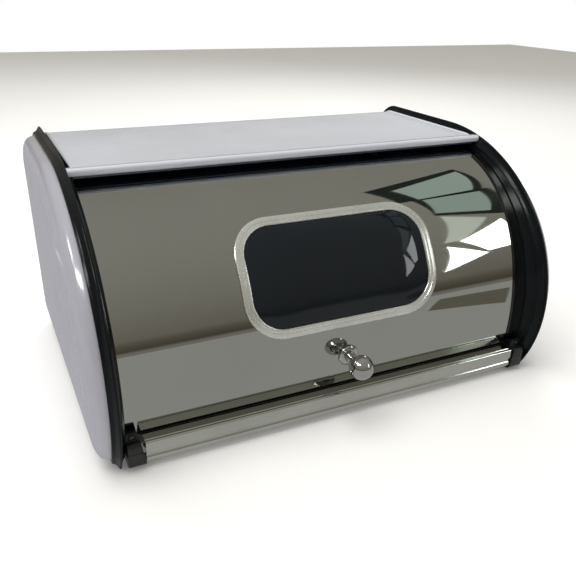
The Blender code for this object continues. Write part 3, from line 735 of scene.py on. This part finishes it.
# ---- sill ----------------------------------------------------------------------------------------
@dataclass
class FrontSill:
    """The polished rail under the door, and the black blocks that close its ends."""

    sizes: BinSizes
    front_y: float = -0.1206
    top_z: float = 0.0218
    low_z: float = 0.0050
    half_x: float = 0.1612
    tab_top_z: float = 0.0280
    tab_top_x: float = 0.1653
    tab_front_y: float = -0.1163
    tab_rear_y: float = -0.1138
    block_rear_y: float = -0.1046
    block_low_z: float = 0.0024
    block_step_z: float = 0.0204
    rebate_y: float = -0.1062
    rail_sheet: float = 0.0006
    screw_x: float = 0.1697
    screw_z: float = 0.0252

    def rail_path(self) -> list[Flat]:
        """The rail's face: a rebate, the ledge, a fine groove, the front face and the bead."""
        front, top, low = self.front_y, self.top_z, self.low_z
        path = [(self.rebate_y, top - 0.0014), (-0.1096, top - 0.0014), (-0.1099, top - 0.0006),
                (-0.1106, top)]
        path += [(front + 0.0036, top), (front + 0.0031, top - 0.0005), (front + 0.0026, top - 0.0005),
                 (front + 0.0021, top)]
        path += arc(front + 0.0014, top - 0.0014, 0.0014, 90.0, 180.0, 8)
        path += [(front, low + 0.0078), (front + 0.0004, low + 0.0073), (front + 0.0011, low + 0.0069),
                 (front + 0.0009, low + 0.0062)]
        path += arc(front + 0.0030, low + 0.0030, 0.0030, 130.0, 270.0, 16)
        return path + [(-0.1100, low + 0.0001)]

    def build_rail(self) -> bpy.types.Object:
        """Fold the rail out of polished sheet."""
        rail = bent_strip("front_sill_rail", self.rail_path(), (-self.half_x, 0.0, self.half_x))
        thicken(rail, self.rail_sheet, AHEAD)
        settle(rail, 40.0)
        return finish_piece(rail, POLISHED, Body.BIN, "front_sill")

    def block_outline(self) -> list[Flat]:
        """The block's shape from the side, with its foot, its nose and the tab above it."""
        front = self.front_y - 0.0010
        tab = self.tab_top_z
        outline = [(self.block_rear_y, self.block_low_z)]
        outline += arc(front + 0.0042, 0.0066, 0.0042, 265.0, 180.0, 6)
        outline += arc(front + 0.0026, 0.0196, 0.0026, 180.0, 90.0, 5)
        outline += [(-0.1164, 0.0224), (-0.1161, 0.0232)]
        outline += arc(-0.1149, tab - 0.0012, 0.0012, 180.0, 90.0, 4)
        return outline + [(self.tab_rear_y - 0.0004, tab), (self.tab_rear_y, tab - 0.0004),
                          (self.tab_rear_y, self.block_step_z), (self.block_rear_y, self.block_step_z)]

    def build_block(self, side: Side) -> bpy.types.Object:
        """Mould one block, with rounded edges, a seam across its nose and a dimple in its tab."""
        name = side.value + "_sill_block_moulding"
        sign = side.sign
        outline = self.block_outline()
        inner = self.half_x + self.sizes.gap
        outer = self.sizes.inner_x - self.sizes.gap
        slant = (self.tab_top_x - inner) / (self.tab_top_z - self.low_z)
        rows = [[(sign * (x + lean * max(z - self.low_z, 0.0)), y, z) for y, z in outline]
                for x, lean in ((inner, slant), (outer, 0.0))]
        bm = bmesh.new()
        ends = [[bm.verts.new(point) for point in row] for row in rows]
        for i in range(len(outline)):
            j = (i + 1) % len(outline)
            bm.faces.new((ends[0][i], ends[0][j], ends[1][j], ends[1][i]))
        bm.faces.new(ends[0])
        bm.faces.new(ends[1])
        bmesh.ops.recalc_face_normals(bm, faces=bm.faces)
        item = loose(name, poured(name, bm))
        soften(item, 0.0006)
        settle(item)
        seam_low = (sign * (inner + outer) / 2 - 0.02, -0.1300, 0.0146)
        seam = block(name + "_seam", seam_low, (seam_low[0] + 0.04, self.front_y - 0.0006, 0.0150))
        hole_profile = [(0.0, 0.0022), (0.0011, 0.0022), (0.0011, -0.0022), (0.0, -0.0022)]
        hole_mesh = turned_mesh(name + "_hole", hole_profile, 24)
        hole_mesh.transform(self.screw_stand(side))
        dimple_profile = [(0.0, 0.0010), (0.0026, 0.0010), (0.0022, -0.0004), (0.0, -0.0004)]
        dimple_mesh = turned_mesh(name + "_dimple", dimple_profile, 32)
        dimple_mesh.transform(self.screw_stand(side))
        carve(item, [seam, loose(name + "_hole", hole_mesh), loose(name + "_dimple", dimple_mesh)])
        return finish_piece(item, BLOCK_BLACK, Body.BIN, side.value + "_sill_block")

    def screw_stand(self, side: Side) -> Matrix:
        """Where a screw stands in the tab of one block."""
        stand = Matrix.Translation((side.sign * self.screw_x, self.tab_front_y, self.screw_z))
        return stand @ Matrix.Rotation(math.pi / 2, 4, "X")

    def build_screw(self, side: Side) -> bpy.types.Object:
        """Drive the blackened screw into the tab's dimple."""
        screw = CrossScrew(side.value + "_sill_screw_head", side.value + "_sill_screw",
                           self.screw_stand(side), 0.0018, 0.0009, 0.0008, 0.0014, DARK_SCREW, Body.BIN)
        return screw.build()


# ---- door ----------------------------------------------------------------------------------------
@dataclass
class RollDoor:
    """The mirror-finish door with its window and knob; the door's seal stays the frame's own node."""

    sizes: BinSizes
    half_x: float = 0.1733
    low: float = math.radians(-14.1)
    high: float = math.radians(92.5)
    thickness: float = 0.0007
    window_mid: float = math.radians(30.5)
    bezel_half_x: float = 0.0817
    bezel_half_arc: float = 0.0455
    bezel_corner: float = 0.0311
    band: float = 0.0072
    crown: float = 0.0029
    knob_angle: float = math.radians(-1.6)
    knob_r: float = 0.0095
    knob_reach: float = 0.0196
    neck_r: float = 0.0040
    per_side: int = 56
    pane_sheet: float = 0.0009
    pane_edge: float = 0.0006
    hole_lap: float = 0.0012

    def window_flat(self, drawn_in: float) -> list[Flat]:
        """A rounded rectangle on the flat sheet, from the middle of its lower right corner.

        Args:
            drawn_in: How far it lies inside the bezel's outer edge.

        Returns:
            (x, up) points, the same number on each side.
        """
        half_x = self.bezel_half_x - drawn_in
        half_up = self.bezel_half_arc - drawn_in
        corner = max(self.bezel_corner - drawn_in, 0.3 * half_up)
        bend = corner * math.pi / 4
        points = []
        for quarter in range(4):
            upright = quarter % 2 == 0
            run = half_up if upright else half_x
            reach = half_x if upright else half_up
            straight = 2.0 * (run - corner)
            for i in range(self.per_side):
                d = (straight + 2.0 * bend) * i / self.per_side
                if d < bend:
                    a = d / corner - math.pi / 4
                    out = reach - corner + corner * math.cos(a)
                    along = -(run - corner) + corner * math.sin(a)
                elif d < bend + straight:
                    out, along = reach, -(run - corner) + d - bend
                else:
                    a = (d - bend - straight) / corner
                    out = reach - corner + corner * math.cos(a)
                    along = run - corner + corner * math.sin(a)
                turn = quarter * math.pi / 2
                points.append((out * math.cos(turn) - along * math.sin(turn),
                               out * math.sin(turn) + along * math.cos(turn)))
        return points

    def window_loop(self, drawn_in: float, height: float) -> Loop:
        """The rounded rectangle wrapped round the door, at a height over its face."""
        return [self.sizes.on_door(self.sizes.door_r + height, self.window_mid + up / self.sizes.door_r, x)
                for x, up in self.window_flat(drawn_in)]

    def sheet_edge(self) -> list[Flat]:
        """The sheet's own rectangle, point for point with the window's."""
        low = (self.low - self.window_mid) * self.sizes.door_r
        high = (self.high - self.window_mid) * self.sizes.door_r
        corners = [(self.half_x, low), (self.half_x, high), (-self.half_x, high), (-self.half_x, low)]
        points = []
        for k, start in enumerate(corners):
            end = corners[(k + 1) % 4]
            for i in range(self.per_side):
                t = i / self.per_side
                points.append((start[0] + (end[0] - start[0]) * t, start[1] + (end[1] - start[1]) * t))
        return points

    def build_sheet(self) -> bpy.types.Object:
        """Roll the sheet, with a true round face so that it mirrors cleanly."""
        hole = self.window_flat(self.band - self.hole_lap)
        edge = self.sheet_edge()
        rings = 16
        outer_r = self.sizes.door_r
        inner_r = outer_r - self.thickness

        def ring(t: float, radius: float) -> Loop:
            """One ring between the window and the sheet's edge."""
            flat = [(a[0] + (b[0] - a[0]) * t, a[1] + (b[1] - a[1]) * t) for a, b in zip(hole, edge)]
            return [self.sizes.on_door(radius, self.window_mid + up / outer_r, x) for x, up in flat]

        front = [ring(i / rings, outer_r) for i in range(rings + 1)]
        back = [ring(i / rings, inner_r) for i in range(rings, -1, -1)]
        mesh = skin("door_mirror_sheet", front + back, ring=True)
        normals = []
        for polygon in mesh.polygons:
            for vertex in polygon.vertices:
                co = mesh.vertices[vertex].co
                out = Vector((0.0, co.y - self.sizes.pivot_y, co.z - self.sizes.pivot_z)).normalized()
                facing = polygon.normal.dot(out)
                normals.append(out if facing > 0.7 else -out if facing < -0.7 else polygon.normal.copy())
        mesh.normals_split_custom_set(normals)
        return finish_piece(loose("door_mirror_sheet", mesh), MIRROR, Body.DOOR, "door_sheet")

    def build_bezel(self) -> bpy.types.Object:
        """Form the satin frame of the window, with a fine step along its middle."""
        band = self.band
        section = [(0.0, 0.0003), (0.0, 0.0010)]
        section += [(0.0008 - 0.0008 * math.cos(a), 0.0010 + 0.0007 * math.sin(a))
                    for a in (math.radians(18.0 * i) for i in range(1, 6))]
        section += [(0.0020, 0.0019), (0.0035, 0.0019), (0.00375, 0.0015), (0.0040, 0.0013),
                    (0.0043, 0.0014), (band - 0.0012, 0.0015)]
        section += [(band - 0.0008 + 0.0008 * math.sin(a), 0.0007 + 0.0008 * math.cos(a))
                    for a in (math.radians(22.5 * i) for i in range(1, 5))]
        section.append((band, 0.0003))
        mesh = skin("window_satin_bezel", [self.window_loop(*step) for step in section], ring=True)
        return finish_piece(loose("window_satin_bezel", mesh), BRUSHED, Body.DOOR, "window_bezel")

    def build_pane(self) -> bpy.types.Object:
        """Blow the smoked pane outward from its edge to its crown."""
        start = self.window_flat(self.band + self.sizes.gap)
        door_r = self.sizes.door_r
        rings = 22
        loops = []
        for i in range(rings):
            k = 1.0 - i / rings
            radius = door_r + self.pane_edge + (self.crown - self.pane_edge) * (1.0 - k ** 4) ** 0.8
            loops.append([self.sizes.on_door(radius, self.window_mid + up * k / door_r, x * k)
                          for x, up in start])
        pane = loose("window_smoked_pane", skin("window_smoked_pane", loops, cap=True))
        thicken(pane, self.pane_sheet, BEHIND)
        settle(pane, 50.0)
        return finish_piece(pane, SMOKED, Body.DOOR, "window_pane")

    def build_knob(self) -> list[bpy.types.Object]:
        """Turn the knob's flange, and the ball with its neck."""
        bore = self.neck_r + self.sizes.gap
        flange = [(bore, 0.0024), (0.0052, 0.0024)]
        flange += curve_through(((0.0058, 0.0023), (0.0066, 0.0019), (0.0074, 0.0016), (0.0081, 0.0011),
                                 (0.0084, 0.0004)), 4)
        flange += [(0.0084, 0.0), (bore, 0.0)]
        disc = turned_mesh("knob_turned_flange", flange, 72)
        disc.transform(self.sizes.door_axis(self.sizes.door_r + self.sizes.gap, self.knob_angle))
        join = math.asin(self.neck_r * 0.92 / self.knob_r)
        steps = 30
        ball = []
        for i in range(steps + 1):
            a = (math.pi - join) * i / steps
            ball.append((self.knob_r * math.sin(a), self.knob_reach + self.knob_r * math.cos(a)))
        ball[0] = (0.0, ball[0][1])
        root = self.knob_reach - self.knob_r
        ball += [(self.neck_r * 0.84, root - 0.0005), (self.neck_r * 0.82, root - 0.0016),
                 (self.neck_r * 0.90, 0.0066), (self.neck_r, 0.0056), (self.neck_r, 0.0003)]
        ball += [(0.0022, 0.0003), (0.0022, 0.0085), (0.0, 0.0085)]
        globe = turned_mesh("knob_turned_ball", ball, 72)
        globe.transform(self.sizes.door_axis(self.sizes.door_r, self.knob_angle))
        return [finish_piece(loose("knob_turned_flange", disc), KNOB_CHROME, Body.DOOR, "knob_flange"),
                finish_piece(loose("knob_turned_ball", globe), KNOB_CHROME, Body.DOOR, "knob_ball")]


# ---- plain nodes that keep their shape ------------------------------------------------------------
def plain_nodes() -> dict[str, Finish]:
    """The frame's own nodes that stay in view, and what each is finished in."""
    finishes = {"base_panel": INNER_ENAMEL, "header_strip": STRIP_BLACK_PAINTED_SHEEN, "door_bottom_seal": SEAL,
                "window_retainer": BLOCK_BLACK, "knob_screw": ZINC, "knob_washer": ZINC}
    for side in Side:
        finishes[side.value + "_side_liner"] = LINER_GREY
        finishes[side.value + "_pivot_pin"] = ZINC
        finishes[side.value + "_rear_bracket"] = BLOCK_BLACK
        finishes[side.value + "_door_arm"] = BLOCK_BLACK
        finishes[side.value + "_pivot_bush"] = NYLON
    return finishes


def dress_nodes(nodes: dict[str, bpy.types.Object]) -> None:
    """Give each plain node its material."""
    for name, finish in plain_nodes().items():
        for slot in nodes[name].material_slots:
            slot.material = finish.material()
        LOG.info("%s: kept, in %s", name, finish.title)


# ---- studio ----------------------------------------------------------------------------------------
@dataclass(frozen=True)
class Card:
    """A flat glowing sheet that only reflections show.

    A window card's corners are degrees round from the front towards +X and degrees above the
    horizon, and its height is how far away it hangs, in room radii.  A ground card's corners are
    (x, y) and its height is over the floor, in metres.
    """

    name: str
    corners: tuple[Flat, ...]
    colour: Colour
    glow: float = 1.0
    height: float = 1.0


PALE_GREEN = (0.78, 0.95, 0.86)
DAYLIGHT = (0.96, 1.0, 0.98)
BAR_DARK = (0.10, 0.12, 0.10)
BAR_REACH = 1.2
SHEET_RISE = 0.0008
STRIP_RISE = 0.0016

WINDOW_CARDS = (
    Card("bars_high", ((96.2, 59.7), (74.3, 55.3), (82.5, 48.6), (110.2, 48.2)), BAR_DARK, 0.3, BAR_REACH),
    Card("bars_low", ((78, 55), (59.8, 46.7), (60.5, 38.9), (83, 48.2)), BAR_DARK, 0.3, BAR_REACH),
    Card("pane_high", ((92.1, 57.3), (76.8, 53.9), (82.1, 49.4), (106.4, 49.0)), PALE_GREEN, 0.62),
    Card("pane_middle", ((75.5, 53.3), (61.6, 47.6), (62.6, 41.8), (79.9, 48.5)), PALE_GREEN, 0.58),
    Card("pane_low", ((59.0, 45.7), (44.8, 31.6), (46.8, 31.1), (58.1, 39.4)), (0.90, 0.95, 0.86), 0.95),
    Card("pane_upper_bright", ((46.3, 30.7), (45.0, 21.9), (48.0, 22.5), (57.3, 37.0)), DAYLIGHT, 7.0),
    Card("pane_lower_bright", ((43.8, 29.3), (38.2, 14.4), (44.5, 20.8)), DAYLIGHT, 7.0),
    Card("left_pane_rear", ((-101, 45), (-101, 56), (-84, 54), (-84, 44)), DAYLIGHT, 14.0),
    Card("left_pane_front", ((-76, 39), (-76, 49), (-45, 57), (-45, 47)), DAYLIGHT, 14.0),
)
GROUND_CARDS = (
    Card("table_tone", ((-2.2, -2.6), (2.6, -2.6), (2.6, -0.118), (-2.2, -0.118)), (0.47, 0.465, 0.44),
         height=SHEET_RISE),
    Card("table_tone_left", ((-2.6, -0.117), (-0.188, -0.117), (-0.188, 2.4), (-2.6, 2.4)),
         (0.40, 0.40, 0.43), height=SHEET_RISE),
    Card("left_gleam", ((-0.285, 0.330), (-0.420, 0.325), (-0.420, 0.350), (-0.285, 0.350)),
         (1.0, 1.0, 1.0), height=STRIP_RISE),
    Card("brown_strip", ((0.28, -0.40), (0.31, -0.28), (0.68, -0.69), (0.67, -0.91)), (0.19, 0.175, 0.135),
         height=STRIP_RISE),
)


@dataclass
class Studio:
    """The floor, the camera, the lights and the pale room that the polished steel mirrors."""

    place: Point = (-0.2339, -0.4858, 0.3017)
    turn: Point = (1.112, -0.0227, -0.4446)
    lens: float = 41.13
    shift: Flat = (-0.0031, 0.0406)
    floor_half: float = 3.0
    room_r: float = 2.6
    lights: list[tuple[str, Point, Point, Flat, float, Colour]] = field(default_factory=lambda: [
        ("key_softbox", (-0.45, 0.2, 1.9), (0.0, 0.0, 0.08), (1.5, 1.5), 30.0, (1.0, 0.99, 0.97)),
        ("fill_softbox", (-1.6, -0.7, 0.9), (-0.1, 0.0, 0.08), (0.8, 1.4), 4.5, (0.94, 0.95, 1.0)),
        ("rim_softbox", (0.9, 1.2, 1.3), (0.0, 0.1, 0.10), (1.0, 1.0), 9.0, (1.0, 1.0, 1.0)),
    ])

    def camera(self) -> bpy.types.Object:
        """Set up the camera at the viewing angle."""
        data = bpy.data.cameras.new("view")
        data.lens = self.lens
        data.sensor_width = 36.0
        data.shift_x, data.shift_y = self.shift
        data.clip_start = 0.01
        item = bpy.data.objects.new("view", data)
        item.location = self.place
        item.rotation_euler = self.turn
        bpy.context.scene.collection.objects.link(item)
        bpy.context.scene.camera = item
        return item

    def floor(self) -> bpy.types.Object:
        """Lay the plain pale floor."""
        half = self.floor_half
        rows = [[(-half, y, 0.0), (half, y, 0.0)] for y in (-half, half)]
        mesh = skin("floor", rows, around=False)
        item = loose("floor", mesh)
        board = Board("floor_pale")
        cloud = board.spread(board.noise(3.0), 0.0, 1.0)
        board.feed(board.blend(cloud, (0.95, 0.95, 0.95), (0.93, 0.93, 0.93)), "Base Color")
        board.shader.inputs["Roughness"].default_value = 0.7
        board.shader.inputs["Emission Color"].default_value = (1.0, 1.0, 1.0, 1.0)
        board.shader.inputs["Emission Strength"].default_value = 0.10
        mesh.materials.append(board.material)
        return item

    def softboxes(self) -> None:
        """Hang the lights, each facing its own mark."""
        for name, place, mark, size, power, colour in self.lights:
            data = bpy.data.lights.new(name, "AREA")
            data.shape = "RECTANGLE"
            data.size, data.size_y = size
            data.energy = power
            data.color = colour
            item = bpy.data.objects.new(name, data)
            item.location = place
            item.rotation_euler = (Vector(mark) - Vector(place)).to_track_quat("-Z", "Y").to_euler()
            item.visible_camera = False
            item.visible_glossy = False
            bpy.context.scene.collection.objects.link(item)

    def window_points(self, card: Card) -> list[Vector]:
        """The corners of a window card, from degrees round from the front and above the horizon."""
        points = []
        for across, up in card.corners:
            a, e = math.radians(across), math.radians(up)
            way = Vector((math.sin(a) * math.cos(e), -math.cos(a) * math.cos(e), math.sin(e)))
            points.append(self.room_r * card.height * way)
        return points

    def hang(self, name: str, points: Sequence[Vector], colour: Colour, glow: float) -> bpy.types.Object:
        """Make a flat sheet that glows in reflections and that nothing else sees."""
        bm = bmesh.new()
        bm.faces.new([bm.verts.new(point) for point in points])
        item = loose(name, poured(name, bm))
        board = Board(name + "_light")
        board.shader.inputs["Base Color"].default_value = (0.0, 0.0, 0.0, 1.0)
        board.shader.inputs["Roughness"].default_value = 1.0
        board.shader.inputs["Specular IOR Level"].default_value = 0.0
        board.shader.inputs["Emission Color"].default_value = (*colour, 1.0)
        board.shader.inputs["Emission Strength"].default_value = glow
        item.data.materials.append(board.material)
        item.visible_camera = False
        item.visible_shadow = False
        item.visible_diffuse = False
        return item

    def cards(self) -> None:
        """Hang the panes and bars of the windows, and lay the toned sheets on the floor."""
        for card in WINDOW_CARDS:
            self.hang(card.name, self.window_points(card), card.colour, card.glow)
        for card in GROUND_CARDS:
            points = [Vector((x, y, card.height)) for x, y in card.corners]
            self.hang(card.name, points, card.colour, card.glow)

    def room(self) -> None:
        """Paint the room round the floor: a warm grey wall and ceiling, and plain white for the camera."""
        world = bpy.data.worlds.new("pale_room")
        bpy.context.scene.world = world
        world.use_nodes = True
        nodes, links = world.node_tree.nodes, world.node_tree.links
        nodes.clear()
        place = nodes.new("ShaderNodeTexCoord")
        split = nodes.new("ShaderNodeSeparateXYZ")
        links.new(place.outputs["Generated"], split.inputs["Vector"])
        ramp = nodes.new("ShaderNodeValToRGB")
        stops = ((0.0, (0.30, 0.28, 0.25)), (0.03, (0.11, 0.095, 0.07)), (0.10, (0.17, 0.15, 0.12)),
                 (0.16, (0.26, 0.24, 0.20)), (0.50, (0.34, 0.325, 0.28)), (1.0, (0.42, 0.41, 0.37)))
        elements = ramp.color_ramp.elements
        while len(elements) < len(stops):
            elements.new(0.5)
        for element, (position, colour) in zip(elements, stops):
            element.position = position
            element.color = (*colour, 1.0)
        links.new(split.outputs["Z"], ramp.inputs["Fac"])
        seen = nodes.new("ShaderNodeBackground")
        seen.inputs["Color"].default_value = (1.0, 1.0, 1.0, 1.0)
        lit = nodes.new("ShaderNodeBackground")
        links.new(ramp.outputs["Color"], lit.inputs["Color"])
        lit.inputs["Strength"].default_value = 0.95
        path = nodes.new("ShaderNodeLightPath")
        mix = nodes.new("ShaderNodeMixShader")
        output = nodes.new("ShaderNodeOutputWorld")
        links.new(path.outputs["Is Camera Ray"], mix.inputs["Fac"])
        links.new(lit.outputs["Background"], mix.inputs[1])
        links.new(seen.outputs["Background"], mix.inputs[2])
        links.new(mix.outputs["Shader"], output.inputs["Surface"])

    def build(self) -> None:
        """Set the whole studio up."""
        self.camera()
        self.floor()
        self.softboxes()
        self.cards()
        self.room()
        bpy.context.scene.view_settings.view_transform = "Standard"


def main() -> None:
    """Build every sub-assembly in order."""
    logging.basicConfig(level=logging.INFO, format="%(name)s: %(message)s")
    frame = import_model()
    Studio().build()
    sizes = BinSizes()
    for side in Side:
        end = BinEnd(side, sizes)
        end.build_frame()
        end.build_panel()
    BodyShell(sizes).build()
    sill = FrontSill(sizes)
    sill.build_rail()
    for side in Side:
        sill.build_block(side)
        sill.build_screw(side)
        CrossScrew(side.value + "_rear_screw_head", side.value + "_rear_screw", sizes.rear_stand(side),
                   0.0034, 0.0018, 0.0015, 0.0085, ZINC, Body.BIN).build()
        RubberFoot(side.value + "_front_foot", side.sign * sizes.foot_x, sizes.front_foot_y).build()
        RubberFoot(side.value + "_rear_foot", side.sign * sizes.foot_x, sizes.rear_foot_y).build()
    door = RollDoor(sizes)
    door.build_sheet()
    door.build_bezel()
    door.build_pane()
    door.build_knob()
    dress_nodes(frame["nodes"])


if __name__ == "__main__":
    main()
